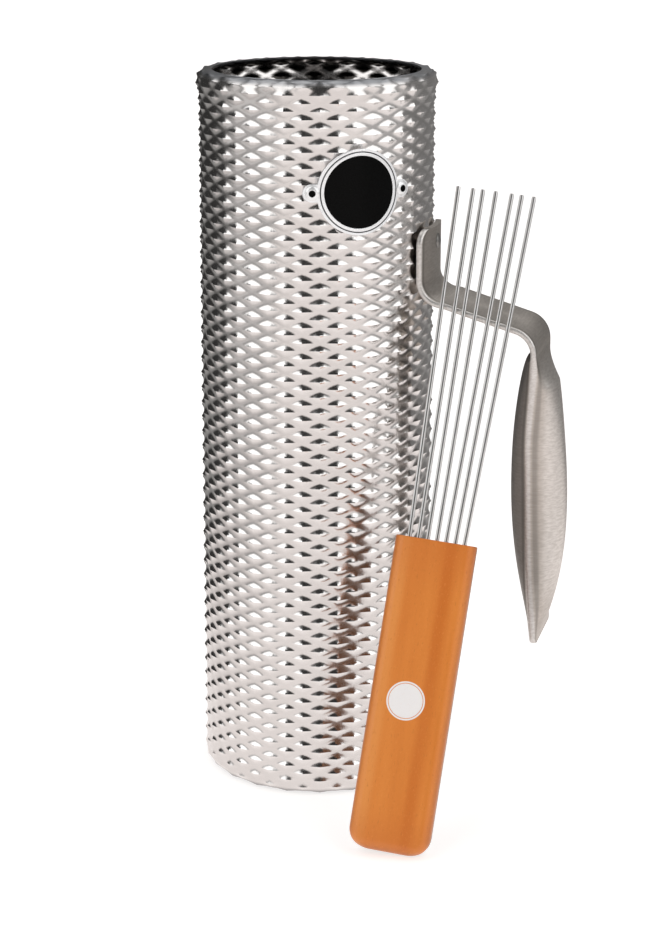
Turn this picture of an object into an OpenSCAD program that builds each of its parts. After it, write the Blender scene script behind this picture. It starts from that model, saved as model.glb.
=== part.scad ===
// Metal guiro: an embossed steel tube with a strap handle riveted to its side, a round badge,
// and a wire scraper with a wooden handle that leans on the arm of the strap handle.
// Millimetres, +Z up along the tube, origin in the middle of the lower rim, strap handle on +X.

/* [Tube] */
// Height of the tube over both rims
tube_h = 305; // [270:1:350]
// Diameter over the rims
rim_d = 101.6; // [94:0.1:112]
// Thickness of the steel sheet
sheet_t = 0.9; // [0.6:0.1:1.2]
// Outside radius of the bend that rounds each rim
rim_bend_r = 4.3; // [3:0.1:5.5]
// Width of the flat lip turned in at each rim
lip_w = 2.9; // [1:0.1:6]

/* [Embossing] */
// Diamonds in one row around the tube
diamonds = 21; // [16:1:24]
// Height of one diamond
diamond_h = 6.5; // [6:0.1:9]
// Height of the diamond points above the valleys
relief = 2; // [1:0.1:2.5]
// Depth of the diamond points inside the rim diameter
point_inset = 1; // [0.5:0.1:2]
// Height of the slanted neck between the lower rim bend and the diamonds
neck_h = 2.4; // [1.5:0.1:5]
// Least height of the neck left over at the upper rim
least_neck_h = 1.2; // [0.8:0.1:2]
// Angle of the first column of points from the strap handle, in degrees
first_column = 4; // [0:0.1:8]

/* [Strap handle] */
// Width of the strap across its flat
strap_w = 36.3; // [33:0.1:44]
// Thickness of the strap where the tube it is made from is pinched flat
strap_t = 2.5; // [1.6:0.1:3.2]
// Depth of the tab's upper end below the upper rim
tab_drop = 63.8; // [50:0.1:90]
// Straight length of the tab on the tube
tab_len = 20.6; // [17:0.1:30]
// Radius of the crown across the tab
tab_crown_r = 70; // [58:1:120]
// Radius on the tab's upper corners
tab_corner_r = 6; // [2:0.1:10]
// Mid-line radius of the bend below the tab
tab_bend_r = 10.6; // [6:0.1:14]
// Fall of the arm below level, in degrees
arm_fall = 16.3; // [0:0.1:25]
// Straight length of the arm
arm_len = 32; // [26:0.1:45]
// Mid-line radius of the elbow between arm and grip
elbow_r = 10.1; // [8:0.1:16]
// Outward lean of the grip towards its tail, in degrees
grip_lean = 1.2; // [0:0.1:5]
// Length of the grip from the elbow to the tail
grip_len = 125.6; // [110:0.1:135]
// Thickness of the grip where it is fullest
pod_t = 23.7; // [16:0.1:25]
// Set of the swelling towards the tube at its upper end
pod_set = 0.8; // [0:0.1:5]
// Radius on the tail's corners
tail_corner_r = 2.6; // [1:0.1:7]

/* [Handle rivet] */
// Depth of the rivet below the tab's upper end
rivet_drop = 6.8; // [6:0.1:14]
// Diameter of the rivet's shank
rivet_d = 4; // [3:0.1:5]
// Diameter of the domed head
rivet_head_d = 6.4; // [5.6:0.1:9]
// Height of the domed head
rivet_head_h = 1.2; // [0.8:0.1:2.5]
// Diameter of the washer inside the tube
washer_d = 11; // [9:0.1:15]
// Thickness of the washer
washer_t = 1.2; // [0.8:0.1:2]

/* [Badge] */
// Angle of the badge around the tube, in degrees from the strap handle
badge_angle = -54.3; // [-120:0.1:-48]
// Height of the badge's middle below the upper rim
badge_drop = 44.7; // [32:0.1:80]
// Radius of the badge's round plate
badge_r = 17.5; // [16:0.1:22]
// Thickness of the plate
badge_t = 0.8; // [0.6:0.1:1.5]
// Radius of the enamel disc
enamel_r = 14.7; // [10:0.1:15]
// Depth of the enamel in the plate
enamel_t = 0.35; // [0.2:0.05:0.45]
// Angle from the badge's middle to each ear, in degrees
ear_angle = 22.4; // [21:0.1:26]
// Radius of each ear
ear_r = 3.7; // [3.4:0.1:5]
// Diameter of the shank of each badge rivet
badge_rivet_d = 3.2; // [2.8:0.1:4]
// Diameter of the head of each badge rivet
badge_rivet_head_d = 6; // [5.4:0.1:6.6]
// Diameter of the hollow in each badge rivet
badge_rivet_hollow_d = 2.6; // [1.6:0.1:2.6]

/* [Scraper] */
// Length of the wooden handle
wood_l = 126.5; // [110:0.5:140]
// Width of the wooden handle
wood_w = 33.2; // [32:0.1:40]
// Thickness of the wooden handle
wood_t = 12; // [9:0.1:16]
// Radius on the long edges
wood_edge_r = 4.2; // [2:0.1:4.4]
// Radius of the two lower corners
wood_corner_r = 8; // [6:0.1:12]
// Lean of the scraper towards the arm, in degrees
scraper_lean = 20.3; // [15:0.1:25]
// Turn of the scraper in its own plane, in degrees
scraper_turn = -11.1; // [-14:0.1:-4]
// Distance along the arm to where the scraper's middle rests
rest_along = 13; // [11:0.1:17]

/* [Tines] */
// Diameter of one tine
tine_d = 1.8; // [1.2:0.1:2.4]
// Free length of the tines
tine_l = 145.5; // [125:0.5:170]
// Depth of the tines in the wood
tine_seat = 25; // [15:0.5:40]
// Spacing of the tines where they leave the wood
tine_base_pitch = 3.8; // [3:0.1:4.1]
// Spacing of the tines at their tips
tine_tip_pitch = 5.3; // [4.8:0.1:6]
// Sideways set of the whole fan at the tips
tine_tip_set = 1.9; // [-2:0.1:3]

/* [Clearances] */
// Radial clearance of rivets, tines and enamel in their holes
fit_gap = 0.05; // [0.03:0.01:0.1]
// Clearance between faces that seat on each other
seat_gap = 0.1; // [0.05:0.01:0.2]
// Clearance between the tines and the arm they rest on
rest_gap = 0.3; // [0.2:0.05:0.6]

/* [Hidden] */

bright_steel = [0.78, 0.77, 0.75];
satin_steel = [0.62, 0.60, 0.57];
enamel_black = [0.02, 0.02, 0.02];
orange_wood = [0.80, 0.47, 0.18];

// Tube: radii from the outside in, and the rows of the embossing
rim_r = rim_d/2;
mouth_r = rim_r - rim_bend_r - lip_w;
point_r = rim_r - point_inset;
valley_r = point_r - relief;
inner_r = valley_r - sheet_t;
columns = 2*diamonds;
row_step = diamond_h/2;
band_z = rim_bend_r + neck_h;
half_rows = floor((tube_h - rim_bend_r - least_neck_h - band_z)/row_step);
band_h = half_rows*row_step;
// How far the embossed band runs into each neck, and the ledge that the neck leaves around it
neck_lap = 0.3;
neck_ledge = 0.15;
overrun = 1;

// Strap handle: its mid-line lies in the XZ plane, as [x, z] points and headings in degrees
tab_x = point_r + seat_gap + strap_t/2;
tab_top = [tab_x, tube_h - tab_drop];
bend_centre = tab_top + tab_len*heading(-90) + tab_bend_r*side(-90);
arm_start = bend_centre - tab_bend_r*side(-arm_fall);
elbow_centre = arm_start + arm_len*heading(-arm_fall) - elbow_r*side(-arm_fall);
grip_heading = grip_lean - 90;
grip_start = elbow_centre + elbow_r*side(grip_heading);
pod_swell = sqrt(pod_t*pod_t - strap_t*strap_t)/2;
// How much the strap narrows as it swells, as the wall of a pinched tube does
narrowing = 1.45;
// Roundness of the section: nearly square on the flat strap, a soft crease on the grip
strap_power = 0.08;
pod_power = 1.15;
ring_points = 36;
bend_steps = 8;
corner_steps = 6;
pod_steps = 28;

// Rivet of the strap handle, along X
rivet_z = tab_top[1] - rivet_drop;
rivet_seat_x = tab_x + strap_t/2 + fit_gap;
washer_x = sqrt(inner_r*inner_r - washer_d*washer_d/4) - fit_gap;
rivet_tail_x = washer_x - washer_t - fit_gap;
rivet_tail_h = 1.8;

// Badge: the plate lies on the points of the embossing
badge_z = tube_h - badge_drop;
badge_in_r = point_r + fit_gap;
badge_out_r = badge_in_r + badge_t;
pocket_r = badge_out_r - enamel_t;
badge_rivet_head_h = 1;
bulb_d = 4.8;
bulb_h = 3;
bulb_r = sqrt(inner_r*inner_r - bulb_d*bulb_d/4) - fit_gap;

// Scraper: each tine is bent a little off an even fan, in degrees
tine_bend = [-0.08, 0.28, -0.2, -0.16, 0.39, -0.08, -0.16];
middle_tine = 3;
wood_round_steps = 9;
wood_rings = [
    for (i = [0:wood_round_steps]) wood_ring(wood_corner_r*(1 - cos(90*i/wood_round_steps))),
    wood_ring(wood_l)
];
wood_low = min([for (ring = wood_rings) for (p = ring) leaning(p)[2]]);
rest_edge = arm_start + rest_along*heading(-arm_fall) + strap_t/2*side(-arm_fall);
rest_point = [rest_edge[0], -strap_w/2, rest_edge[1]];
rest_back = (tine_d/2 + rest_gap)*leaning([0, 1, 0]);
rest_axis = leaning([0, 0, 1]);
scraper_foot = rest_point - rest_back
    - rest_axis*(rest_point[2] - rest_back[2] + wood_low)/rest_axis[2];

function heading(angle) = [cos(angle), sin(angle)];
function side(angle) = [-sin(angle), cos(angle)];
function about_x(p, a) = [p[0], p[1]*cos(a) - p[2]*sin(a), p[1]*sin(a) + p[2]*cos(a)];
function about_y(p, a) = [p[0]*cos(a) + p[2]*sin(a), p[1], p[2]*cos(a) - p[0]*sin(a)];
function leaning(p) = about_y(about_x(about_y(p, scraper_turn), -scraper_lean), arm_fall);
// How far a rounded corner has drawn in at a distance from the end
function corner_cut(from_end, r) = from_end < r ? r - sqrt(r*r - (r - from_end)^2) : 0;

// Solid skinned over closed rings of points, each with the same count, from first to last
module loft(rings) {
    n = len(rings[0]);
    last = len(rings) - 1;
    sides = [for (k = [0:last - 1]) for (j = [0:n - 1]) each [
        [k*n + j, (k + 1)*n + j, (k + 1)*n + (j + 1) % n],
        [k*n + j, (k + 1)*n + (j + 1) % n, k*n + (j + 1) % n]
    ]];
    first_cap = [for (j = [0:n - 1]) j];
    last_cap = [for (j = [n - 1:-1:0]) last*n + j];
    polyhedron(points = [for (ring = rings) each ring], faces = concat(sides, [first_cap, last_cap]));
}

// Half outline of a dome that stands on the level base
module dome_profile(r, h, base) {
    ball_r = (r*r + h*h)/(2*h);
    intersection() {
        translate([0, base + h - ball_r]) circle(r = ball_r, $fn = 96);
        translate([0, base]) square([r, h]);
    }
}

// Children's +Z points straight out of the tube at an angle and a height
module out_of_tube(angle, z) {
    translate([0, 0, z]) rotate([0, 0, angle]) rotate([0, 90, 0]) children();
}

module handle_rivet_hole() {
    out_of_tube(0, rivet_z) cylinder(d = rivet_d + 2*fit_gap, h = rim_d, $fn = 64);
}

module badge_rivet_holes() {
    for (s = [-1, 1])
        out_of_tube(badge_angle + s*ear_angle, badge_z)
            cylinder(d = badge_rivet_d + 2*fit_gap, h = rim_d, $fn = 64);
}

// Tube: staggered diamond points pressed out of the sheet between two turned-in rims
function is_point(c, k) = (c + k) % 2 == 1 && k > 0 && k < half_rows;
function row_z(k) = band_z + (k < 0 ? -neck_lap : k > half_rows ? band_h + neck_lap : k*row_step);
function on_tube(c, k) = let (r = is_point(c, k) ? point_r : valley_r, a = first_column + 360*c/columns)
    [r*cos(a), r*sin(a), row_z(k)];

module embossed_band() {
    function at(c, k) = (k + 1)*columns + c % columns;
    // Each cell is folded along the line that joins its two valley corners
    skin = [for (k = [-1:half_rows]) for (c = [0:columns - 1]) each (c + k) % 2 == 0
        ? [[at(c, k), at(c + 1, k + 1), at(c + 1, k)], [at(c, k), at(c, k + 1), at(c + 1, k + 1)]]
        : [[at(c, k), at(c, k + 1), at(c + 1, k)], [at(c + 1, k), at(c, k + 1), at(c + 1, k + 1)]]];
    foot = [for (c = [0:columns - 1]) at(c, -1)];
    top = [for (c = [columns - 1:-1:0]) at(c, half_rows + 1)];
    difference() {
        polyhedron(
            points = [for (k = [-1:half_rows + 1]) for (c = [0:columns - 1]) on_tube(c, k)],
            faces = concat(skin, [foot, top])
        );
        translate([0, 0, band_z - overrun]) cylinder(r = inner_r, h = band_h + 2*overrun, $fn = 360);
    }
}

// Lower rim: a flat lip, a quarter bend and a neck that slants in to the valleys
module rim(neck) {
    bend = [rim_r - rim_bend_r, rim_bend_r];
    rotate_extrude($fn = 180) {
        translate([mouth_r, 0]) square([bend[0] - mouth_r, sheet_t]);
        intersection() {
            difference() {
                translate(bend) circle(r = rim_bend_r, $fn = 96);
                translate(bend) circle(r = rim_bend_r - sheet_t, $fn = 96);
            }
            translate([bend[0], 0]) square(rim_bend_r);
        }
        polygon([
            [rim_r - sheet_t, rim_bend_r],
            [rim_r, rim_bend_r],
            [valley_r + neck_ledge, rim_bend_r + neck],
            [inner_r + neck_ledge, rim_bend_r + neck]
        ]);
    }
}

module body_shell() {
    color(bright_steel) difference() {
        union() {
            embossed_band();
            rim(neck_h);
            translate([0, 0, tube_h]) mirror([0, 0, 1]) rim(tube_h - band_z - band_h - rim_bend_r);
        }
        handle_rivet_hole();
        badge_rivet_holes();
    }
}

// Strap handle: one steel tube, pinched flat and bent at the tab, left full at the grip
function strap_ring(pos, angle, half_w, half_t, power, crown) = [
    for (j = [0:ring_points - 1])
        let (
            a = 360*j/ring_points,
            y = half_w*cos(a),
            sag = crown*(tab_crown_r - sqrt(tab_crown_r*tab_crown_r - y*y)),
            out = half_t*sign(sin(a))*abs(sin(a))^power - sag,
            p = pos + out*side(angle)
        )
        [p[0], y, p[1]]
];

function tab_ring(from_end) = strap_ring(
    tab_top + from_end*heading(-90), -90,
    strap_w/2 - corner_cut(from_end, tab_corner_r), strap_t/2, strap_power, 1
);

function bend_ring(share) = let (angle = -90 + share*(90 - arm_fall)) strap_ring(
    bend_centre - tab_bend_r*side(angle), angle, strap_w/2, strap_t/2, strap_power, cos(90*share)
);

function elbow_ring(share) = let (angle = -arm_fall + share*(grip_heading + arm_fall)) strap_ring(
    elbow_centre + elbow_r*side(angle), angle, strap_w/2, strap_t/2, strap_power, 0
);

// The grip fills quickly below the elbow and thins more slowly towards the tail
function pod_ring(share) = let (
    fill = (4*share*(1 - share))^(0.39 + 0.53*share),
    half_t = norm([strap_t/2, pod_swell*fill]),
    half_w = sqrt(strap_w*strap_w/4 - narrowing*(half_t*half_t - strap_t*strap_t/4)),
    set = pod_set*(1 - share)*sqrt(fill)
) strap_ring(
    grip_start + grip_len*share*heading(grip_heading) - set*side(grip_heading), grip_heading,
    half_w - corner_cut(grip_len*(1 - share), tail_corner_r), half_t,
    strap_power + (pod_power - strap_power)*sqrt(fill), 0
);

module handle() {
    color(satin_steel) difference() {
        loft([
            for (i = [0:corner_steps]) tab_ring(tab_corner_r*(1 - cos(90*i/corner_steps))),
            for (i = [0:bend_steps]) bend_ring(i/bend_steps),
            for (i = [0:bend_steps]) elbow_ring(i/bend_steps),
            for (i = [1:pod_steps]) pod_ring((1 - cos(180*i/pod_steps))/2)
        ]);
        handle_rivet_hole();
    }
}

// Solid rivet: domed head on the tab, shank through tab and tube, tail spread on the washer
module handle_rivet() {
    color(bright_steel) out_of_tube(0, rivet_z) rotate_extrude($fn = 96) {
        dome_profile(rivet_head_d/2, rivet_head_h, rivet_seat_x);
        translate([0, rivet_tail_x - rivet_tail_h/2])
            square([rivet_d/2, rivet_seat_x - rivet_tail_x + (rivet_head_h + rivet_tail_h)/2]);
        mirror([0, 1]) dome_profile(rivet_head_d/2, rivet_tail_h, -rivet_tail_x);
    }
}

module handle_washer() {
    color(bright_steel) out_of_tube(0, rivet_z) translate([0, 0, washer_x - washer_t]) difference() {
        cylinder(d = washer_d, h = washer_t, $fn = 96);
        translate([0, 0, -overrun]) cylinder(d = rivet_d + 2*fit_gap, h = washer_t + 2*overrun, $fn = 64);
    }
}

// Badge: a round plate with two ears, bent to the tube, with enamel in a pocket
module tube_layer(from_r, to_r) {
    translate([0, 0, badge_z]) difference() {
        cylinder(r = to_r, h = 3*badge_r, center = true, $fn = 360);
        cylinder(r = from_r, h = 4*badge_r, center = true, $fn = 360);
    }
}

module badge_disc(r) {
    out_of_tube(badge_angle, badge_z) cylinder(r = r, h = rim_d, $fn = 180);
}

module badge_plate() {
    color(bright_steel) difference() {
        intersection() {
            tube_layer(badge_in_r, badge_out_r);
            union() {
                badge_disc(badge_r);
                for (s = [-1, 1])
                    out_of_tube(badge_angle + s*ear_angle, badge_z) cylinder(r = ear_r, h = rim_d, $fn = 96);
            }
        }
        intersection() {
            tube_layer(pocket_r, rim_d);
            badge_disc(enamel_r + fit_gap);
        }
        badge_rivet_holes();
    }
}

module badge_enamel() {
    color(enamel_black) intersection() {
        tube_layer(pocket_r + fit_gap, badge_out_r);
        badge_disc(enamel_r);
    }
}

// Blind rivet: hollow domed head outside, swollen end inside the tube
module badge_rivet(s) {
    base = badge_out_r + fit_gap;
    color(bright_steel) out_of_tube(badge_angle + s*ear_angle, badge_z) rotate_extrude($fn = 96) difference() {
        union() {
            dome_profile(badge_rivet_head_d/2, badge_rivet_head_h, base);
            translate([0, bulb_r]) square([badge_rivet_d/2, base - bulb_r]);
            translate([0, bulb_r - bulb_h]) square([bulb_d/2, bulb_h]);
        }
        translate([0, bulb_r]) square([badge_rivet_hollow_d/2, base - bulb_r + 2*badge_rivet_head_h]);
    }
}

// Scraper: local X across the wood, local Z along it, origin in the middle of its lower end
module leaning_scraper() {
    translate(scraper_foot) rotate([0, arm_fall, 0]) rotate([-scraper_lean, 0, 0])
        rotate([0, scraper_turn, 0]) children();
}

function wood_ring(z) =
    let (
        half_w = wood_w/2 - corner_cut(z, wood_corner_r),
        half_t = wood_t/2 - corner_cut(z, wood_edge_r),
        edge_r = min(wood_edge_r, half_t),
        quarter = ring_points/4 - 1
    ) [
        for (q = [0:3]) for (i = [0:quarter])
            let (a = 90*(q + i/quarter))
            [
                (q == 0 || q == 3 ? 1 : -1)*(half_w - edge_r) + edge_r*cos(a),
                (q < 2 ? 1 : -1)*(half_t - edge_r) + edge_r*sin(a),
                z
            ]
    ];

function tine_base(i) = (i - middle_tine)*tine_base_pitch;
function tine_tip(i) = (i - middle_tine)*tine_tip_pitch + tine_tip_set + tine_l*tan(tine_bend[i]);

// Children's +Z runs along one tine, from where it leaves the wood
module along_tine(i) {
    translate([tine_base(i), 0, wood_l]) rotate([0, atan2(tine_tip(i) - tine_base(i), tine_l), 0]) children();
}

module scraper_handle() {
    color(orange_wood) leaning_scraper() difference() {
        loft(wood_rings);
        for (i = [0:len(tine_bend) - 1])
            along_tine(i) translate([0, 0, -tine_seat - seat_gap])
                cylinder(d = tine_d + 2*fit_gap, h = tine_seat + seat_gap + overrun, $fn = 48);
    }
}

module tine(i) {
    color(bright_steel) leaning_scraper() along_tine(i)
        translate([0, 0, -tine_seat]) cylinder(d = tine_d, h = tine_seat + tine_l, $fn = 48);
}

body_shell();
handle();
handle_rivet();
handle_washer();
badge_plate();
badge_enamel();
badge_rivet(-1);  // badge_rivet_left
badge_rivet(1);  // badge_rivet_right
scraper_handle();
tine(0);  // tine_1
tine(1);  // tine_2
tine(2);  // tine_3
tine(3);  // tine_4
tine(4);  // tine_5
tine(5);  // tine_6
tine(6);  // tine_7
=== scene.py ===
"""Looks for a metal guiro: embossed steel tube, strap handle, badge, and a loose wire scraper.

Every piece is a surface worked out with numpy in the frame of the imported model: +Z up along the tube,
strap handle on +X, origin in the middle of the lower rim. Lengths are millimetres until make_piece turns
them into metres, in which a pattern's scale is given too. Angles are radians unless a comment says.
"""
import math

import bpy
import numpy as np
from mathutils import Matrix


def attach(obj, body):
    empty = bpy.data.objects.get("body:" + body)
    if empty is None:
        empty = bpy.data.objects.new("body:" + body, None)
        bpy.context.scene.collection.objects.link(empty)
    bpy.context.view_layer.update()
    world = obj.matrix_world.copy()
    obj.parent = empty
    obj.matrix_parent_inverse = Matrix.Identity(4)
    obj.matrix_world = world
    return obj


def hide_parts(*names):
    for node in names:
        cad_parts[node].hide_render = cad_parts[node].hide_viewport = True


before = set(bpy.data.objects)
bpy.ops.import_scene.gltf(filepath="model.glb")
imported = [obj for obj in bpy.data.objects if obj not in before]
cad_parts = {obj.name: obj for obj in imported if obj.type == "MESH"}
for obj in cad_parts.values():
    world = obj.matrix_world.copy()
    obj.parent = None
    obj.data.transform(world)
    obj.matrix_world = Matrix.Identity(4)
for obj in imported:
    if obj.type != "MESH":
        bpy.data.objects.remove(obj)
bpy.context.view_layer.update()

MM = 0.001

# Tube
TUBE_H = 305.0
RIM_R = 50.8
RIM_BEND_R = 4.3
MOUTH_R = 43.6
SHEET_T = 0.9
LIP_SET = 0.25
LIP_ROUND_OUT, LIP_ROUND_IN = 0.3, 0.2
# Upper rim, duller and painted darker as shade: height where it starts and height where it is full
RUBBED_SHADE_FROM, RUBBED_SHADE_FULL = TUBE_H - 3.0, TUBE_H - 1.0
# Painted shade along the foot: full up to the first height, gone at the second
FOOT_SHADE_FULL, FOOT_SHADE_TO = 0.8, 3.0

# Embossing: the lattice stands at LATTICE_R and the points at POINT_R. SLOPE_HEIGHT is the height at
# SLOPE_AT, the distance from a point, both from 0 to 1: steep beside the point, then flattening.
POINT_R = 49.8
LATTICE_R = 48.7
DIAMONDS = 21
ROW_STEP = 3.25
HALF_ROWS = 90
BAND_Z = 6.7
FIRST_COLUMN = math.radians(4.0)
SLOPE_AT = np.array([0.0, 0.25, 0.5, 0.75, 1.0])
SLOPE_HEIGHT = np.array([1.0, 0.555, 0.195, 0.042, 0.0])
RIDGE_ROUND = 0.12
CELL_STEPS = 4
# Towards a rim, between these heights from it, the wall takes the rim's radius and relief
FADE_FROM, FADE_TO = 4.3, 14.0
RIM_RELIEF, FOOT_RELIEF = 1.0, 0.7
LIP_SHARE = 0.5
LIP_TURNS = (1.78, 1.98, 2.19)
# Half rows of the inside from, to and step: finer near the mouth that is looked into
INSIDE_ROWS = ((-0.5, 9, 0.5), (9, 70, 1.0), (70, 82, 0.5), (82, 90.5, 0.25))
# How much of the points' polish is left at the rims and on the lips, and the mark of the inside
RIM_POLISH, LIP_POLISH, INSIDE_MARK = 0.3, 0.6, 0.01

# Strap handle
STRAP_W = 36.3
STRAP_T = 2.5
STRAP_EDGE = 0.8
TAB_GAP = 0.1
TAB_DROP = 63.8
TAB_LEN = 20.6
TAB_CROWN_R = 57.0
TAB_CORNER_R = 6.0
TAB_BEND_R = 10.6
ARM_FALL = math.radians(16.3)
ARM_LEN = 32.0
ELBOW_R = 10.1
GRIP_LEAN = math.radians(1.2)
GRIP_LEN = 125.6
POD_T = 23.7
POD_SET = 0.8
NARROWING = 1.45
TAIL_CORNER_R = 2.6
# The grip's fullness is a power of 4x(1 - x) that grows from top to tail. Its inner face fills up within
# FILL_IN of its length, its outer face more slowly, and its edge moves inwards within SET_BY.
FULL_TOP, FULL_GROWS = 0.39, 0.53
FILL_IN, FILL_OUT, FILL_OUT_POWER, SET_BY = 0.03, 0.12, 0.8, 0.35
LENS_POWER_IN, LENS_POWER_OUT = 1.22, 0.92
EDGE_SET = 0.25
GIRTH_R = 12.0

# Badge
BADGE_ANGLE = math.radians(-54.3)
BADGE_Z = TUBE_H - 44.7
BADGE_R = 17.5
BADGE_IN_R = POINT_R + 0.05
BADGE_OUT_R = BADGE_IN_R + 0.8
ENAMEL_R = 14.7
ENAMEL_T = 0.35
ENAMEL_LOW, ENAMEL_DOME, ENAMEL_GAP = 0.06, 0.10, 0.05
GROOVE_R, GROOVE_D = 16.25, 0.22
BORDER_R = 17.0
# The plate's edge: drawn in from the outline, and below its face
PLATE_EDGE = ((0.22, 0.0), (0.06, 0.07), (0.0, 0.22), (0.0, 0.65), (0.15, 0.8))
EAR_ANGLE = math.radians(22.4)
EAR_R = 3.7
# Hollow rivet: radius, and height over the ear. The first rows are its hollow, then come the domed head,
# the shank through ear and tube, and the swollen end.
RIVET_LIFT = 0.05
HOLLOW_ROWS = 4
RIVET_OUTLINE = np.array([
    (1.27, 0.03), (1.27, 0.10), (1.28, 0.35), (1.34, 0.62),
    (1.50, 0.74), (1.80, 0.72), (2.20, 0.62), (2.60, 0.42), (2.85, 0.22), (2.97, 0.08), (2.97, 0.0),
    (1.60, 0.0), (1.60, -4.6), (2.38, -4.6), (2.38, -7.4), (2.10, -7.7)])

# Scraper
WOOD_L = 126.5
WOOD_W = 33.2
WOOD_T = 12.0
WOOD_EDGE_R = 4.2
WOOD_CORNER_R = 8.0
WOOD_FLAT = 0.03
# The worn upper edge: below the end, and drawn in
WOOD_WORN = np.array([(0.25, 0.06), (0.06, 0.22), (0.0, 0.5)])
ROUNDEL_AT = (-1.7, WOOD_L - 65.5)
ROUNDEL_R = 7.85
ROUNDEL_RING_IN = 0.35
ROUNDEL_RING_HALF_W = (0.22, 0.42)
ROUNDEL_DISC = 0.88
ROUNDEL_SOFT = 0.1
# Tones across the wood, from its middle, and along it, from its lower end: where each starts, is full,
# starts to fade and ends
DARK_STRIPE = (3.0, 6.2, 7.2, 11.5)
# A painted highlight down the left side
HIGHLIGHT_STRIPE = (-16.0, -12.5, -11.5, -8.0)
DARK_FOOT, DARK_HEAD = (2.0, 20.0), (100.0, 126.0)
# Painted shade along the sides and the lower end
SHADE_SIDES, SHADE_UNDER = (14.2, 16.6), (0.0, 3.5)
LEAN = math.radians(20.3)
TURN = math.radians(-11.1)
REST_ALONG = 13.0
REST_GAP = 0.3
TINES = 7
TINE_D = 1.8
TINE_L = 145.5
TINE_SEAT = 25.0
TINE_BASE_PITCH = 3.8
TINE_TIP_PITCH = 5.3
TINE_TIP_SET = 1.9
TINE_BEND = np.radians((-0.08, 0.28, -0.2, -0.16, 0.39, -0.08, -0.16))
# The cut end of a wire: below the tip, and drawn in; and its painted dark reflection line: round from the side,
# and half width
TINE_STRAIGHT = 0.35
REFLECTION_LINE_AT = 0.75 * math.pi * TINE_D
REFLECTION_LINE_HALF_W = (0.12, 0.52)
TINE_WORN = np.array([(0.15, 0.04), (0.04, 0.14), (0.0, 0.3)])

# Camera: turned round the tube, place before the turn, tilt down, and the image in pixels
CAMERA_TURN = math.radians(15.41)
CAMERA_AT = (0.254, -932.9, 408.4)
CAMERA_TILT = 0.2434
FOCAL_PX = 2236.6
PRINCIPAL = (317.5, 366.45)
IMAGE = (664, 943)
SENSOR = 36.0

# Light: azimuth from and to, elevation from and to, softness of the edges, in degrees, and colour
LIGHTS = (
    (-92, -28, 6, 76, 5, (1.40, 1.40, 1.40)),
    (26, 96, 6, 76, 5, (1.40, 1.40, 1.40)),
    (112, 200, 36, 76, 6, (1.2, 1.2, 1.2)),
    (-200, -112, 36, 76, 6, (1.2, 1.2, 1.2)),
    (95, 200, -12, 34, 6, (0.16, 0.157, 0.155)),
    (-41, 46, -12, 4, 5, (0.62, 0.57, 0.55)),
    (-96, 96, -40, 2, 6, (0.40, 0.39, 0.385)),
    (-200, 200, -120, -12.5, 6, (0.28, 0.275, 0.27)),
)
ROOM_LIGHT = (0.030, 0.0295, 0.029)
# Paper and floor, in metres
PAPER_LEFT, PAPER_RIGHT = 0.55, 0.86
PAPER_FRONT, PAPER_BACK = 1.7, 0.22
PAPER_Z = -0.0005
FLOOR_RINGS = np.array([0.05, 0.3, 0.8, 2.0, 5.0, 12.0])


def full_turn(n):
    """n angles spread evenly over a full turn."""
    return np.linspace(0, 2 * math.pi, n, endpoint=False)


def smooth_step(x):
    """0 to 1 along 3x^2 - 2x^3, level at both ends."""
    x = np.clip(x, 0, 1)
    return x * x * (3 - 2 * x)


def grid_faces(rows, columns, wrap_rows=False):
    """Quads of a grid of rows by columns points, numbered row by row. Each row closes on itself, and with
    wrap_rows the last row joins the first."""
    i = np.arange(rows if wrap_rows else rows - 1)[:, None]
    j = np.arange(columns)[None, :]
    i1, j1 = (i + 1) % rows, (j + 1) % columns
    corners = [i * columns + j, i * columns + j1, i1 * columns + j1, i1 * columns + j]
    return np.stack(np.broadcast_arrays(*corners), -1).reshape(-1, 4)


def capped_faces(rings, n):
    """Faces of rings of n points that start round one middle point and end round another, which are
    the last two points. The first middle faces the way that the rings face."""
    j = np.arange(n)
    j1 = (j + 1) % n
    last = (rings - 1) * n
    start = np.stack([np.full(n, rings * n), j, j1], -1)
    end = np.stack([np.full(n, rings * n + 1), last + j1, last + j], -1)
    return [grid_faces(rings, n)[:, ::-1], start, end]


def new_object(name, points, faces, material):
    """An object at the origin from points in metres and arrays of faces."""
    mesh = bpy.data.meshes.new(name)
    mesh.from_pydata(points.tolist(), [], [face for part in faces for face in part.tolist()])
    mesh.materials.append(material)
    thing = bpy.data.objects.new(name, mesh)
    bpy.context.scene.collection.objects.link(thing)
    return thing


def make_piece(name, node, body, slot, material, sharp, points, faces, uv=None, values=None):
    """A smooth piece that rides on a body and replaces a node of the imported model. points are
    millimetres, uv gives two coordinates to each point, values a number to each point by name, and
    sharp is the angle in degrees past which an edge shades hard."""
    piece = new_object(name, points.reshape(-1, 3) * MM, faces, material)
    mesh = piece.data
    if uv is not None:
        corner = np.empty(len(mesh.loops), np.int32)
        mesh.loops.foreach_get("vertex_index", corner)
        layer = mesh.uv_layers.new(name="UVMap")
        layer.data.foreach_set("uv", np.asarray(uv, np.float32).reshape(-1, 2)[corner].ravel())
    for key, value in (values or {}).items():
        attribute = mesh.attributes.new(key, "FLOAT", "POINT")
        attribute.data.foreach_set("value", np.asarray(value, np.float32).ravel())
    mesh.polygons.foreach_set("use_smooth", np.ones(len(mesh.polygons), bool))
    mesh.update()
    mesh.validate()
    mesh.set_sharp_from_angle(angle=math.radians(sharp))
    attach(piece, body)
    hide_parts(node)


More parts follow.
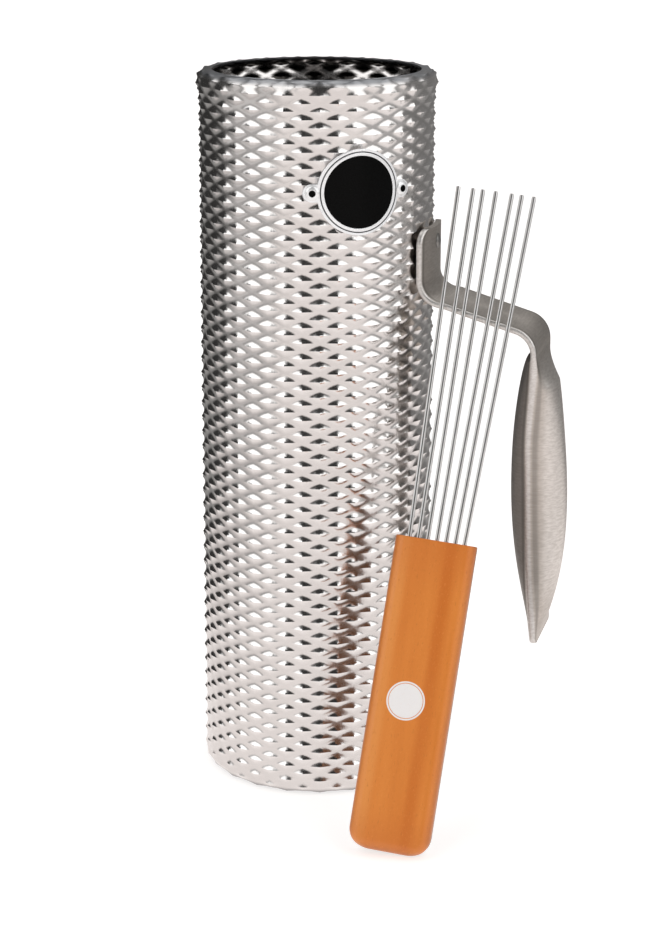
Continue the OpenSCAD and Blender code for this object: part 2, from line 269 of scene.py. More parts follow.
class Nodes:
    """A node tree, with short helpers that add a node, link or set its inputs, and give its output."""

    def __init__(self, tree):
        self.nodes, self.links = tree.nodes, tree.links

    def put(self, socket, value):
        if isinstance(value, bpy.types.NodeSocket):
            self.links.new(value, socket)
        else:
            socket.default_value = value

    def add(self, kind, inputs=None, **settings):
        node = self.nodes.new(kind)
        for key, value in settings.items():
            setattr(node, key, value)
        for key, value in (inputs or {}).items():
            self.put(node.inputs[key], value)
        return node

    def math(self, operation, a, b=0.0):
        return self.add("ShaderNodeMath", {0: a, 1: b}, operation=operation).outputs[0]

    def times(self, a, b):
        return self.math("MULTIPLY", a, b)

    def plus(self, a, b):
        return self.math("ADD", a, b)

    def away(self, value, middle):
        """How far value is from middle, on either side."""
        return self.math("ABSOLUTE", self.math("SUBTRACT", value, middle))

    def span(self, value, low, high, to_low=0.0, to_high=1.0):
        """value from low..high mapped smoothly to to_low..to_high."""
        return self.add("ShaderNodeMapRange", {
            "Value": value, "From Min": low, "From Max": high, "To Min": to_low, "To Max": to_high},
            interpolation_type="SMOOTHSTEP").outputs["Result"]

    def band(self, value, start, full, fade, end):
        """1 from full to fade, falling smoothly to 0 at start and end."""
        return self.times(self.span(value, start, full), self.span(value, fade, end, 1.0, 0.0))

    def split(self, vector):
        return self.add("ShaderNodeSeparateXYZ", {"Vector": vector}).outputs


class Shader(Nodes):
    """A material with one Principled shader, whose constant sockets are given by name."""

    def __init__(self, name, **sockets):
        self.material = bpy.data.materials.new(name)
        self.material.use_nodes = True
        super().__init__(self.material.node_tree)
        self.surface = self.nodes["Principled BSDF"]
        for key, value in sockets.items():
            self.surface.inputs[key.replace("_", " ")].default_value = value

    def place(self, scale=(1, 1, 1), source="Object"):
        """Coordinates of the surface, stretched by scale."""
        coordinates = self.add("ShaderNodeTexCoord").outputs[source]
        return self.add("ShaderNodeMapping", {"Vector": coordinates, "Scale": scale}).outputs["Vector"]

    def noise(self, vector, scale, detail=3.0, roughness=0.55):
        return self.add("ShaderNodeTexNoise", {
            "Vector": vector, "Scale": scale, "Detail": detail, "Roughness": roughness}).outputs["Fac"]

    def ramp(self, value, *stops):
        """Colours at stops of position and colour."""
        node = self.add("ShaderNodeValToRGB", {"Fac": value})
        elements = node.color_ramp.elements
        while len(elements) < len(stops):
            elements.new(0.5)
        for element, (position, colour) in zip(elements, stops):
            element.position = position
            element.color = (*colour, 1)
        return node.outputs["Color"]

    def mix(self, factor, a, b):
        """Colour a, turned into colour b by factor."""
        node = self.add("ShaderNodeMix", data_type="RGBA")
        for name, kind, value in (("Factor", "VALUE", factor), ("A", "RGBA", a), ("B", "RGBA", b)):
            socket = next(x for x in node.inputs if x.name == name and x.type == kind)
            self.put(socket, (*value, 1) if isinstance(value, tuple) else value)
        return next(x for x in node.outputs if x.type == "RGBA")

    def attribute(self, name):
        return self.add("ShaderNodeAttribute", attribute_name=name).outputs["Fac"]

    def bump(self, height, strength, distance):
        node = self.add("ShaderNodeBump", {"Height": height, "Strength": strength, "Distance": distance})
        self.into("Normal", node.outputs["Normal"])

    def into(self, socket, value):
        self.links.new(value, self.surface.inputs[socket])


def embossed_steel():
    """Bright rolled stainless: pale warm steel, brighter and smoother towards the points, duller on the upper
    rim with painted shade there too, painted shade along the foot and painted shade in the hollows of the
    inside. "relief" is the height of the embossing from 0 to 1, and below 0 inside."""
    s = Shader("embossed_steel", Metallic=1.0)
    relief = s.attribute("relief")
    up = s.split(s.place())["Z"]
    cloud = s.noise(s.place(), 55, 4)
    fine = s.noise(s.place((1, 1, 0.15)), 900, 2)
    worn = s.plus(s.times(cloud, 0.35), s.times(relief, 0.65))
    tone = s.ramp(worn, (0.0, (0.68, 0.655, 0.64)), (0.35, (0.83, 0.805, 0.79)), (1.0, (0.92, 0.905, 0.895)))
    # Painted shade on the upper rim, which is also made rougher
    rubbed_and_shaded = s.span(up, RUBBED_SHADE_FROM * MM, RUBBED_SHADE_FULL * MM)
    rubbed_and_shaded = s.times(rubbed_and_shaded, s.span(cloud, 0.25, 0.55, 0.55, 1.0))
    tone = s.mix(rubbed_and_shaded, tone, (0.30, 0.305, 0.32))
    # Painted shade along the foot, darkest at the bottom edge
    foot_shade = s.span(up, FOOT_SHADE_FULL * MM, FOOT_SHADE_TO * MM, 0.9, 0.0)
    tone = s.mix(foot_shade, tone, (0.20, 0.20, 0.205))
    # Painted shade in the hollows of the inside
    inside_shade = s.span(relief, -0.03, -0.15)
    s.into("Base Color", s.mix(inside_shade, tone, (0.05, 0.046, 0.042)))
    rough = s.plus(s.times(cloud, 0.10), s.span(relief, 0.0, 1.0, 0.16, 0.09))
    s.into("Roughness", s.plus(rough, s.times(rubbed_and_shaded, 0.16)))
    s.bump(fine, 0.12, 0.0002)
    return s.material


def satin_steel():
    """Brushed stainless: fine lines and short dashes across the strap, cloudy tone and gloss, a bright edge,
    partly wear and partly painted highlight, painted shade in the fold beside it, and on the grip a painted
    highlight outside and painted shade inside. "edge" is the distance from the edge in mm; "inner" is the
    grip's fullness, below 0 on its outer face."""
    s = Shader("satin_steel", Metallic=1.0, Anisotropic=0.3)
    lines = s.noise(s.place((0.06, 1, 1), "UV"), 1500, 3, 0.7)
    broad = s.noise(s.place((0.3, 1, 1), "UV"), 260, 3)
    dashes = s.noise(s.place((0.35, 1, 1), "UV"), 1100, 2, 0.6)
    cloud = s.noise(s.place(), 40, 4)
    tone = s.plus(s.times(lines, 0.45), s.plus(s.times(broad, 0.3), s.times(cloud, 0.25)))
    colour = s.ramp(tone, (0.25, (0.47, 0.43, 0.39)), (0.52, (0.61, 0.565, 0.52)), (0.8, (0.74, 0.695, 0.65)))
    edge, inner = s.attribute("edge"), s.attribute("inner")
    # Painted shade in the fold beside the edge
    fold = s.band(edge, 0.8, 1.4, 1.9, 3.0)
    colour = s.mix(s.times(fold, 0.55), colour, (0.22, 0.205, 0.19))
    # A bright edge: partly wear, partly painted highlight
    colour = s.mix(s.span(edge, 0.35, 0.95, 0.75, 0.0), colour, (0.90, 0.885, 0.87))
    # Painted highlight on the outer face of the grip
    outer_highlight = s.times(s.span(inner, -0.3, -0.85), s.span(edge, 2.0, 6.0, 0.0, 0.75))
    colour = s.mix(outer_highlight, colour, (0.92, 0.885, 0.85))
    colour = s.mix(s.span(dashes, 0.30, 0.70, 0.0, 0.32), colour, (0.36, 0.32, 0.28))
    # Painted shade on the inner face of the grip
    dark = s.times(s.span(inner, 0.1, 0.6), s.span(edge, 0.4, 1.6))
    s.into("Base Color", s.mix(s.times(dark, 0.62), colour, (0.12, 0.115, 0.11)))
    s.into("Roughness", s.span(tone, 0.3, 0.7, 0.46, 0.36))
    s.bump(lines, 0.25, 0.0001)
    return s.material


def white_plate():
    """White plated badge: silvery white with faint cloudy haze and hair scratches, dark in the groove,
    where "groove" is 1."""
    s = Shader("white_plate", Metallic=0.35)
    haze = s.noise(s.place(), 120, 4)
    hair = s.noise(s.place((1, 1, 0.05)), 1400, 2)
    plate = s.ramp(haze, (0.3, (0.90, 0.905, 0.92)), (0.7, (0.97, 0.975, 0.985)))
    s.into("Base Color", s.mix(s.attribute("groove"), plate, (0.07, 0.07, 0.075)))
    s.into("Roughness", s.plus(s.times(haze, 0.14), 0.20))
    s.bump(hair, 0.08, 0.00005)
    return s.material


def dull_steel():
    """Plain rivet steel: grey with cloudy haze and fine unevenness."""
    s = Shader("dull_steel", Metallic=1.0)
    haze = s.noise(s.place(), 300, 4)
    s.into("Base Color", s.ramp(haze, (0.3, (0.26, 0.25, 0.24)), (0.7, (0.42, 0.41, 0.395))))
    s.into("Roughness", s.plus(s.times(haze, 0.2), 0.28))
    s.bump(haze, 0.10, 0.0001)
    return s.material


def eyelet_steel():
    """Bright plated steel of the badge's hollow rivets, painted black in the hollow as its shade, where "hollow"
    is 1.
    """
    s = Shader("eyelet_steel", Metallic=0.5)
    haze = s.noise(s.place(), 400, 3)
    plate = s.ramp(haze, (0.3, (0.88, 0.885, 0.89)), (0.7, (0.96, 0.96, 0.965)))
    hollow = s.attribute("hollow")
    # Painted shade: the hollow is black and reflects nothing
    s.into("Base Color", s.mix(hollow, plate, (0.006, 0.006, 0.006)))
    s.into("Specular IOR Level", s.span(hollow, 0.0, 1.0, 0.5, 0.0))
    s.into("Roughness", s.plus(s.times(haze, 0.12), 0.18))
    s.bump(haze, 0.06, 0.0001)
    return s.material


def black_enamel():
    """Deep black enamel: a slow orange peel and a faint dusty bloom."""
    s = Shader("black_enamel", Specular_IOR_Level=0.05)
    peel = s.noise(s.place(), 500, 2)
    dust = s.noise(s.place(), 2500, 3)
    s.into("Base Color", s.ramp(dust, (0.45, (0.002, 0.002, 0.002)), (0.8, (0.005, 0.005, 0.005))))
    s.into("Roughness", s.span(peel, 0.3, 0.7, 0.22, 0.32))
    s.bump(peel, 0.05, 0.0001)
    return s.material


def orange_wood():
    """Lacquered orange-brown wood: long soft figure, short pores and pale speckle along the length, a pale
    stripe on the left that is a painted highlight, a darker one right of the middle, darker ends, painted
    shade along the outline, painted shade over the back half, and a bare white printed roundel. UV is across
    and along the handle from the middle of its lower end, and "front" is 1 on the front."""
    s = Shader("orange_wood", Coat_Weight=0.25, Coat_Roughness=0.3)
    uv = s.split(s.place((1 / MM, 1 / MM, 1), "UV"))
    across, along = uv["X"], uv["Y"]
    front = s.attribute("front")
    figure = s.noise(s.place((1, 0.10, 1), "UV"), 150, 4)
    pores = s.noise(s.place((1, 0.22, 1), "UV"), 1700, 2, 0.6)
    speckle = s.noise(s.place((1, 0.6, 1), "UV"), 1300, 3, 0.6)
    base = s.ramp(figure, (0.28, (0.70, 0.198, 0.021)), (0.5, (0.75, 0.226, 0.026)), (0.74, (0.79, 0.252, 0.033)))
    base = s.mix(s.times(s.band(across, *DARK_STRIPE), 0.65), base, (0.62, 0.145, 0.006))
    # Painted highlight down the left side
    base = s.mix(s.times(s.band(across, *HIGHLIGHT_STRIPE), 0.50), base, (0.84, 0.33, 0.075))
    ends = s.math("MAXIMUM", s.span(along, *DARK_FOOT, 1.0, 0.0), s.span(along, *DARK_HEAD))
    base = s.mix(s.times(ends, 0.40), base, (0.62, 0.155, 0.016))
    base = s.mix(s.span(pores, 0.58, 0.74, 0.0, 0.40), base, (0.50, 0.125, 0.010))
    # Painted shade along the sides and the lower end
    sides = s.span(s.math("ABSOLUTE", across), *SHADE_SIDES)
    outline = s.math("MAXIMUM", sides, s.span(along, *SHADE_UNDER, 1.0, 0.0))
    base = s.mix(s.times(outline, 0.55), base, (0.36, 0.095, 0.010))
    base = s.mix(s.span(speckle, 0.54, 0.74, 0.0, 0.22), base, (0.90, 0.37, 0.085))
    # Painted shade over the back half, dark so that its reflection in the tube is dark
    base = s.mix(s.span(front, 0.2, 0.8, 0.9, 0.0), base, (0.10, 0.035, 0.008))
    dx, dy = (s.math("SUBTRACT", x, at) for x, at in zip((across, along), ROUNDEL_AT))
    distance = s.math("SQRT", s.plus(s.times(dx, dx), s.times(dy, dy)))
    from_ring = s.away(distance, ROUNDEL_R - ROUNDEL_RING_IN)
    ring = s.span(from_ring, *ROUNDEL_RING_HALF_W, 1.0, 0.0)
    disc_r = ROUNDEL_DISC * ROUNDEL_R
    disc = s.span(distance, disc_r - ROUNDEL_SOFT, disc_r + ROUNDEL_SOFT, 1.0, 0.0)
    printed = s.times(s.math("MAXIMUM", ring, disc), front)
    ink = s.times(printed, s.span(speckle, 0.55, 0.85, 1.0, 0.86))
    s.into("Base Color", s.mix(ink, base, (0.93, 0.90, 0.89)))
    s.into("Roughness", s.span(figure, 0.3, 0.7, 0.42, 0.52))
    s.bump(pores, 0.10, 0.0002)
    return s.material


def drawn_wire():
    """Bright drawn wire: fine lines along its length, a little haze and a painted dark reflection as a line along
    the front, three quarters of the way round. UV is round and along the wire."""
    s = Shader("drawn_wire", Metallic=1.0)
    lines = s.noise(s.place((1, 0.01, 1), "UV"), 1200, 2)
    haze = s.noise(s.place(), 150, 3)
    bright = s.ramp(haze, (0.3, (0.80, 0.79, 0.78)), (0.7, (0.92, 0.91, 0.90)))
    # A painted reflection: a dark line along the front of the wire
    from_reflection_line = s.away(s.split(s.place((1 / MM, 1, 1), "UV"))["X"], REFLECTION_LINE_AT)
    painted_reflection = s.span(from_reflection_line, *REFLECTION_LINE_HALF_W, 0.85, 0.0)
    s.into("Base Color", s.mix(painted_reflection, bright, (0.10, 0.098, 0.096)))
    s.into("Roughness", s.plus(s.times(haze, 0.10), 0.26))
    s.bump(lines, 0.03, 0.00002)
    return s.material


def rounded(x):
    """0..1 to 0..1: a parabola up to RIDGE_ROUND that runs on as its tangent, to round a ridge at 0."""
    return np.where(x < RIDGE_ROUND, x * x / (2 * RIDGE_ROUND), x - RIDGE_ROUND / 2) / (1 - RIDGE_ROUND / 2)


def emboss_height(columns, half_rows):
    """Height 0..1 on the grid of columns s and half rows t. Points stand where s + t is odd. The distance
    to the nearest one is rounded(|ds|) + |dt|, which in one cell is the smaller of two opposite corners'."""
    s, t = np.broadcast_arrays(columns[None, :], half_rows[:, None])
    fs, ft = s - np.floor(s), t - np.floor(t)
    odd = (np.floor(s) + np.floor(t)) % 2 == 1
    across = np.where(odd, fs, 1 - fs)
    distance = np.minimum(rounded(across) + ft, rounded(1 - across) + 1 - ft)
    return np.interp(distance, SLOPE_AT, SLOPE_HEIGHT)


def tube_surface():
    """Closed ring surface: a profile that runs up the outside, over the upper lip, down the inside and
    under the lower lip, carried round the axis. The radius is the lattice radius plus the relief times
    emboss_height; towards each rim both run to the rim's own along a smooth step, the lattice flaring at
    the top only, and the relief goes on over the bend and the lip. The inside follows the outside a
    sheet's thickness deeper. Also gives the relief of each point."""
    columns = 2 * DIAMONDS
    s = np.arange(columns * CELL_STEPS) / CELL_STEPS

    def wall(t, inset):
        """Rows of the wall at half rows t, moved in by inset: radius, height and relief."""
        z = BAND_Z + ROW_STEP * t[:, None]
        full = smooth_step((np.minimum(z, TUBE_H - z) - FADE_FROM) / (FADE_TO - FADE_FROM))
        h = emboss_height(s, t)
        upper = z > TUBE_H / 2
        rim_r, rim_relief = np.where(upper, RIM_R, POINT_R), np.where(upper, RIM_RELIEF, FOOT_RELIEF)
        lattice = rim_r - rim_relief - (rim_r - rim_relief - LATTICE_R) * full
        relief = rim_relief + (POINT_R - LATTICE_R - rim_relief) * full
        polish = RIM_POLISH + (1 - RIM_POLISH) * full
        return lattice + relief * h - inset, np.broadcast_to(z, h.shape), h * polish

    def rim(top, inset):
        """Rows of a rim from the wall round the bend and along the lip, moved in by inset."""
        rim_r, relief = (RIM_R, RIM_RELIEF) if top else (POINT_R, FOOT_RELIEF)
        turn = np.linspace(0, math.pi / 2, 12)[1:]
        lip = np.ones(len(LIP_TURNS))
        share = LIP_SHARE + (1 - LIP_SHARE) * np.sqrt(np.clip(np.cos(turn), 0, 1))
        bend_r = RIM_BEND_R - inset - relief * share
        bend_at = rim_r - RIM_BEND_R
        lip_r = np.linspace(bend_at, MOUTH_R + LIP_SET, len(lip) + 1)[1:]
        r = np.r_[bend_at + bend_r * np.cos(turn), lip_r]
        z = np.r_[RIM_BEND_R - bend_r * np.sin(turn), (RIM_BEND_R - bend_r[-1]) * lip]
        t = (RIM_BEND_R - BAND_Z - RIM_BEND_R * np.r_[turn, LIP_TURNS]) / ROW_STEP
        t = (TUBE_H - 2 * BAND_Z) / ROW_STEP - t if top else t
        h = np.r_[share, LIP_SHARE * lip][:, None] * emboss_height(s, t)
        r = r[:, None] + relief * h * np.r_[np.cos(turn), 0 * lip][:, None]
        z = z[:, None] - relief * h * np.r_[np.sin(turn), lip][:, None]
        return r, TUBE_H - z if top else z, LIP_POLISH * h

    def mouth(z):
        """One row of the lip's own edge."""
        edge = np.full((1, len(s)), MOUTH_R)
        return edge, np.full_like(edge, z), 0 * edge

    first_t = (RIM_BEND_R - BAND_Z) / ROW_STEP
    last_t = (TUBE_H - RIM_BEND_R - BAND_Z) / ROW_STEP
    outside = np.r_[first_t, np.arange(-0.5, HALF_ROWS + 0.5, 1 / CELL_STEPS), last_t]
    inside = np.r_[first_t, np.concatenate([np.arange(*rows) for rows in INSIDE_ROWS]), last_t]
    lip_in = SHEET_T - LIP_ROUND_IN
    parts = [
        [a[::-1] for a in rim(False, 0.0)], wall(outside, 0.0), rim(True, 0.0),
        mouth(TUBE_H - LIP_ROUND_OUT), mouth(TUBE_H - lip_in),
        [a[::-1] for a in rim(True, SHEET_T)], [a[::-1] for a in wall(inside, SHEET_T)], rim(False, SHEET_T),
        mouth(lip_in), mouth(LIP_ROUND_OUT),
    ]
    r, z, h = (np.concatenate([part[i] for part in parts]) for i in range(3))
    skin_rows = sum(len(part[0]) for part in parts[:3])
    h = np.where(np.arange(len(h))[:, None] < skin_rows, h, -h - INSIDE_MARK)
    angle = FIRST_COLUMN + 2 * math.pi * s / columns
    points = np.stack([r * np.cos(angle), r * np.sin(angle), z], -1)
    # Each quad is cut along the fold that runs between two valley corners of its cell
    mid_z = z.mean(1)
    t_mid = (0.5 * (mid_z + np.roll(mid_z, -1)) - BAND_Z) / ROW_STEP
    s_mid = s + 0.5 / CELL_STEPS
    slash = ((np.floor(t_mid)[:, None] + np.floor(s_mid)[None, :]) % 2 == 1).reshape(-1, 1)
    a, b, c, d = grid_faces(*r.shape, wrap_rows=True).T
    first = np.where(slash, np.stack([a, b, d], -1), np.stack([a, b, c], -1))
    second = np.where(slash, np.stack([b, c, d], -1), np.stack([a, c, d], -1))
    return points, [first, second], None, {"relief": h}


def heading(angle):
    """Unit vector along an angle, in the plane of the strap: out from the axis, and up."""
    return np.stack([np.cos(angle), np.sin(angle)], -1)


def side(angle):
    """Unit vector to the left of an angle."""
    return np.stack([-np.sin(angle), np.cos(angle)], -1)


# The strap's mid-line: down the tab, round the bend, along the arm, round the elbow and down the grip
DOWN = -math.pi / 2
TAB_TOP = np.array([POINT_R + TAB_GAP + STRAP_T / 2, TUBE_H - TAB_DROP])
BEND_CENTRE = TAB_TOP + TAB_LEN * heading(DOWN) + TAB_BEND_R * side(DOWN)
ARM_START = BEND_CENTRE - TAB_BEND_R * side(-ARM_FALL)
ELBOW_CENTRE = ARM_START + ARM_LEN * heading(-ARM_FALL) - ELBOW_R * side(-ARM_FALL)
GRIP_HEADING = GRIP_LEAN + DOWN
GRIP_START = ELBOW_CENTRE + ELBOW_R * side(GRIP_HEADING)


def corner_cut(from_end, r):
    """How far a corner of radius r has drawn in at a distance from the end."""
    reach = np.clip(r - from_end, 0, r)
    return r - np.sqrt(r * r - reach * reach)


def strap_surface():
    """Sections carried along the bent mid-line of the strap. The half thickness across a section is the
    root of the squares of a flat strap with round edges and of a lens-shaped swelling, so the grip fills
    out of the flat strap and keeps a thin folded edge; the inner face swells at once, the outer face
    later. The width narrows as the wall of a pinched tube does. The tab's section sags to the tube. Also
    gives each point's distance from the edge, and the grip's fullness, below 0 on its outer face."""
    n = 112
    turn = full_turn(n)
    tab_round = TAB_CORNER_R * (1 - np.cos(np.linspace(0, math.pi / 2, 12)))
    tab = np.r_[tab_round, np.linspace(TAB_CORNER_R, TAB_LEN, 8)[1:]]
    bend = np.linspace(0, 1, 20)[1:]
    arm = np.linspace(0, 1, 10)[1:-1]
    elbow = np.linspace(0, 1, 20)
    share = (1 - np.cos(np.linspace(0, math.pi, 130)[1:])) / 2
    strap_rows = len(tab) + len(bend) + len(arm) + len(elbow)

    def on_grip(x):
        """A column of x along the grip, with 0 along the strap before it."""
        return np.r_[np.zeros(strap_rows), x][:, None]

    bend_angle = DOWN + bend * (-ARM_FALL - DOWN)
    elbow_angle = -ARM_FALL + elbow * (GRIP_HEADING + ARM_FALL)
    bulge = (4 * share * (1 - share)) ** (FULL_TOP + FULL_GROWS * share)
    fill = bulge * smooth_step(share / FILL_IN)
    fill_out = bulge * np.clip(share / FILL_OUT, 0, 1) ** FILL_OUT_POWER
    late = smooth_step(share / SET_BY)
    flat_half = STRAP_T / 2
    swell = math.sqrt(POD_T ** 2 - STRAP_T ** 2) / 2
    pod_half_t = np.hypot(flat_half, swell * fill)
    pod_half_w = np.sqrt(STRAP_W ** 2 / 4 - NARROWING * (pod_half_t ** 2 - flat_half ** 2))
    pod_half_w = pod_half_w - corner_cut(GRIP_LEN * (1 - share), TAIL_CORNER_R)
    pod_set = POD_SET * (1 - share) * np.sqrt(fill) * late
    position = np.concatenate([
        TAB_TOP + tab[:, None] * heading(DOWN),
        BEND_CENTRE - TAB_BEND_R * side(bend_angle),
        ARM_START + arm[:, None] * ARM_LEN * heading(-ARM_FALL),
        ELBOW_CENTRE + ELBOW_R * side(elbow_angle),
        GRIP_START + (GRIP_LEN * share)[:, None] * heading(GRIP_HEADING) - pod_set[:, None] * side(GRIP_HEADING)])
    angle = np.concatenate([np.full_like(tab, DOWN), bend_angle, np.full_like(arm, -ARM_FALL), elbow_angle,
                            np.full_like(share, GRIP_HEADING)])
    tab_half_w = STRAP_W / 2 - corner_cut(tab, TAB_CORNER_R)
    half_w = np.r_[tab_half_w, np.full(strap_rows - len(tab), STRAP_W / 2), pod_half_w][:, None]
    crown = np.r_[np.ones_like(tab), np.cos(bend * math.pi / 2), 0 * arm, 0 * elbow, 0 * share][:, None]
    y = half_w * np.cos(turn)
    from_edge = half_w - np.abs(y)
    round_off = np.clip(from_edge / (STRAP_EDGE * flat_half), 0, 1)
    flat_depth = flat_half * np.sqrt(np.clip(round_off * (2 - round_off), 0, 1))
    outer = np.sin(turn)[None, :] > 0
    lens_form = np.abs(np.sin(turn))[None, :] ** np.where(outer, LENS_POWER_OUT, LENS_POWER_IN)
    depth = np.hypot(flat_depth, swell * np.where(outer, on_grip(fill_out), on_grip(fill)) * lens_form)
    from_edge = np.hypot(from_edge, depth - flat_depth)
    sag = crown * (TAB_CROWN_R - np.sqrt(TAB_CROWN_R ** 2 - y * y))
    edge_shift = swell * EDGE_SET * on_grip(fill * late) * (1 - lens_form)
    out = np.sign(np.sin(turn))[None, :] * depth - edge_shift - sag
    line = position[:, None, :] + out[..., None] * side(angle)[:, None, :]
    points = np.stack([line[..., 0], y, line[..., 1]], -1)
    length = np.r_[0, np.cumsum(np.hypot(*np.diff(position, axis=0).T))]
    uv = np.stack(np.broadcast_arrays(GIRTH_R * turn, length[:, None]), -1) * MM
    rows = len(position)
    # Ends are closed by a strip that joins the two halves of the first and the last section
    j = np.arange(1, n // 2)
    strip = np.stack([j[:-1], j[1:], n - j[1:], n - j[:-1]], -1)
    tips = np.array([[0, 1, n - 1], [n // 2 - 1, n // 2, n // 2 + 1]])
    ends = [(row * n + part)[:, ::way] for row, way in ((0, -1), (rows - 1, 1)) for part in (strip, tips)]
    inner = np.where(outer, -1.0, 1.0) * on_grip(fill)
    return points, [grid_faces(rows, n), *ends], uv, {"edge": from_edge, "inner": inner}


def on_badge(across, up, radius):
    """A point of the badge: across and up from its middle, on the tube at that radius."""
    depth = np.sqrt(radius * radius - across * across)
    c, s = math.cos(BADGE_ANGLE), math.sin(BADGE_ANGLE)
    return np.stack([depth * c - across * s, depth * s + across * c, BADGE_Z + up], -1)


def badge_points(radius, level, turn, front, back):
    """Points of rings on the badge, then its middle at the levels front and back."""
    rings = on_badge(radius * np.cos(turn), radius * np.sin(turn), level).reshape(-1, 3)
    return np.vstack([rings, on_badge(np.zeros(2), np.zeros(2), np.array([front, back]))])


def plate_surface():
    """Rings carried over the plate: out of the enamel's pocket, up to a rounded border with a fine groove,
    out to the outline of disc and ears, round its edge and back under. The outline is the disc's radius
    or, towards an ear, the far side of that ear's ellipse. Also marks the points in the groove."""
    n = 360
    turn = full_turn(n)
    reach = BADGE_OUT_R * math.sin(EAR_ANGLE)
    ear_w, ear_h = EAR_R * math.cos(EAR_ANGLE), EAR_R
    c, s = np.abs(np.cos(turn)), np.sin(turn)
    # Ray from the middle against ((x - reach) / ear_w)^2 + (y / ear_h)^2 = 1
    qa = (c / ear_w) ** 2 + (s / ear_h) ** 2
    qb = c * reach / ear_w ** 2
    root = qb * qb - qa * ((reach / ear_w) ** 2 - 1)
    ear = np.where(root > 0, (qb + np.sqrt(np.clip(root, 0, None))) / qa, 0)
    outline = np.maximum(BADGE_R, ear)
    pocket = [(ENAMEL_R - 1.0, ENAMEL_T), (ENAMEL_R + 0.05, ENAMEL_T), (ENAMEL_R + 0.07, 0.12),
              (ENAMEL_R + 0.18, 0.03), (ENAMEL_R + 0.35, 0.0), (GROOVE_R - 0.29, 0.0)]
    groove = [(GROOVE_R - 0.23, 0.03), (GROOVE_R - 0.17, GROOVE_D), (GROOVE_R + 0.17, GROOVE_D),
              (GROOVE_R + 0.23, 0.03)]
    border = [(GROOVE_R + 0.29, 0.0), (BORDER_R, 0.0)]
    rings = np.array(pocket + groove + border)
    edge_in, edge_drop = np.array(PLATE_EDGE).T
    radius = np.vstack([np.repeat(rings[:, :1], n, 1), np.maximum(outline - edge_in[:, None], BORDER_R + 0.02)])
    level = BADGE_OUT_R - np.r_[rings[:, 1], edge_drop][:, None] + np.zeros(n)
    count = len(radius)
    points = badge_points(radius, level, turn, BADGE_OUT_R - ENAMEL_T, BADGE_IN_R)
    row = np.arange(count)
    in_groove = (row >= len(pocket)) & (row < len(pocket) + len(groove))
    return points, capped_faces(count, n), None, {"groove": np.r_[np.repeat(in_groove, n), False, False]}


def rivet_surface(sign):
    """A hollow rivet: RIVET_OUTLINE carried round the axis that stands out of the tube through one ear,
    from the floor of a shallow hollow over the domed head to the end inside. Also marks the hollow."""
    n = 48
    turn = full_turn(n)
    angle = BADGE_ANGLE + sign * EAR_ANGLE
    c, s = math.cos(angle), math.sin(angle)
    radius = RIVET_OUTLINE[:, :1]
    out = BADGE_OUT_R + RIVET_LIFT + RIVET_OUTLINE[:, 1:]

    def round_axis(across, up, out):
        x, y, z = np.broadcast_arrays(out * c - across * s, out * s + across * c, BADGE_Z + up)
        return np.stack([x, y, z], -1).reshape(-1, 3)

    rows = len(RIVET_OUTLINE)
    points = np.vstack([round_axis(radius * np.cos(turn), radius * np.sin(turn), out),
                        round_axis(0.0, 0.0, out[[0, -1]])])
    hollow = np.r_[np.repeat(np.arange(rows) < HOLLOW_ROWS, n), True, False]
    return points, capped_faces(rows, n), None, {"hollow": hollow}


def enamel_surface():
    """A disc with a slightly domed face and a rounded edge, in the pocket of the plate."""
    n = 180
    rho = np.r_[np.linspace(1.5, ENAMEL_R - 0.5, 10), ENAMEL_R - np.array([0.25, 0.08, 0.0, 0.0])]
    level = BADGE_OUT_R - ENAMEL_LOW + ENAMEL_DOME * (1 - (rho / ENAMEL_R) ** 2)
    floor = BADGE_OUT_R - ENAMEL_T + ENAMEL_GAP
    level[-3:] = BADGE_OUT_R - 0.10, BADGE_OUT_R - 0.16, floor
    middle = BADGE_OUT_R - ENAMEL_LOW + ENAMEL_DOME
    points = badge_points(rho[:, None] + np.zeros(n), level[:, None] + np.zeros(n), full_turn(n), middle, floor)
    return points, capped_faces(len(rho), n)


def about_x(p, a):
    """Points turned about X."""
    c, s = math.cos(a), math.sin(a)
    return np.stack([p[..., 0], p[..., 1] * c - p[..., 2] * s, p[..., 1] * s + p[..., 2] * c], -1)


def about_y(p, a):
    """Points turned about Y."""
    c, s = math.cos(a), math.sin(a)
    return np.stack([p[..., 0] * c + p[..., 2] * s, p[..., 1], p[..., 2] * c - p[..., 0] * s], -1)


def leaning(p):
    """Points of the scraper turned about its length, leant back and tilted along the arm."""
    return about_y(about_x(about_y(np.asarray(p, float), TURN), -LEAN), ARM_FALL)


def wood_local():
    """Rounded rectangles stacked along the handle: the sides draw in along quarter circles at the lower
    end, the thickness along a smaller one, and the upper end is cut square with a worn edge."""
    quarter = 14
    lower = np.r_[WOOD_CORNER_R * (1 - np.cos(np.linspace(0, math.pi / 2, 18))),
                  np.linspace(WOOD_CORNER_R, WOOD_L - 0.6, 40)[1:]]
    along = np.r_[lower, WOOD_L - WOOD_WORN[:, 0]]
    worn = np.r_[0 * lower, WOOD_WORN[:, 1]]
    half_w = (WOOD_W / 2 - corner_cut(along, WOOD_CORNER_R) - worn)[:, None]
    half_t = (WOOD_T / 2 - corner_cut(along, WOOD_EDGE_R) - worn)[:, None]
    edge = np.minimum(WOOD_EDGE_R, half_t - WOOD_FLAT)
    turn = np.concatenate([np.linspace(0, math.pi / 2, quarter) + q * math.pi / 2 for q in range(4)])
    x = np.repeat([1, -1, -1, 1], quarter) * (half_w - edge) + edge * np.cos(turn)
    y = np.repeat([1, 1, -1, -1], quarter) * (half_t - edge) + edge * np.sin(turn)
    return np.stack(np.broadcast_arrays(x, y, along[:, None]), -1)


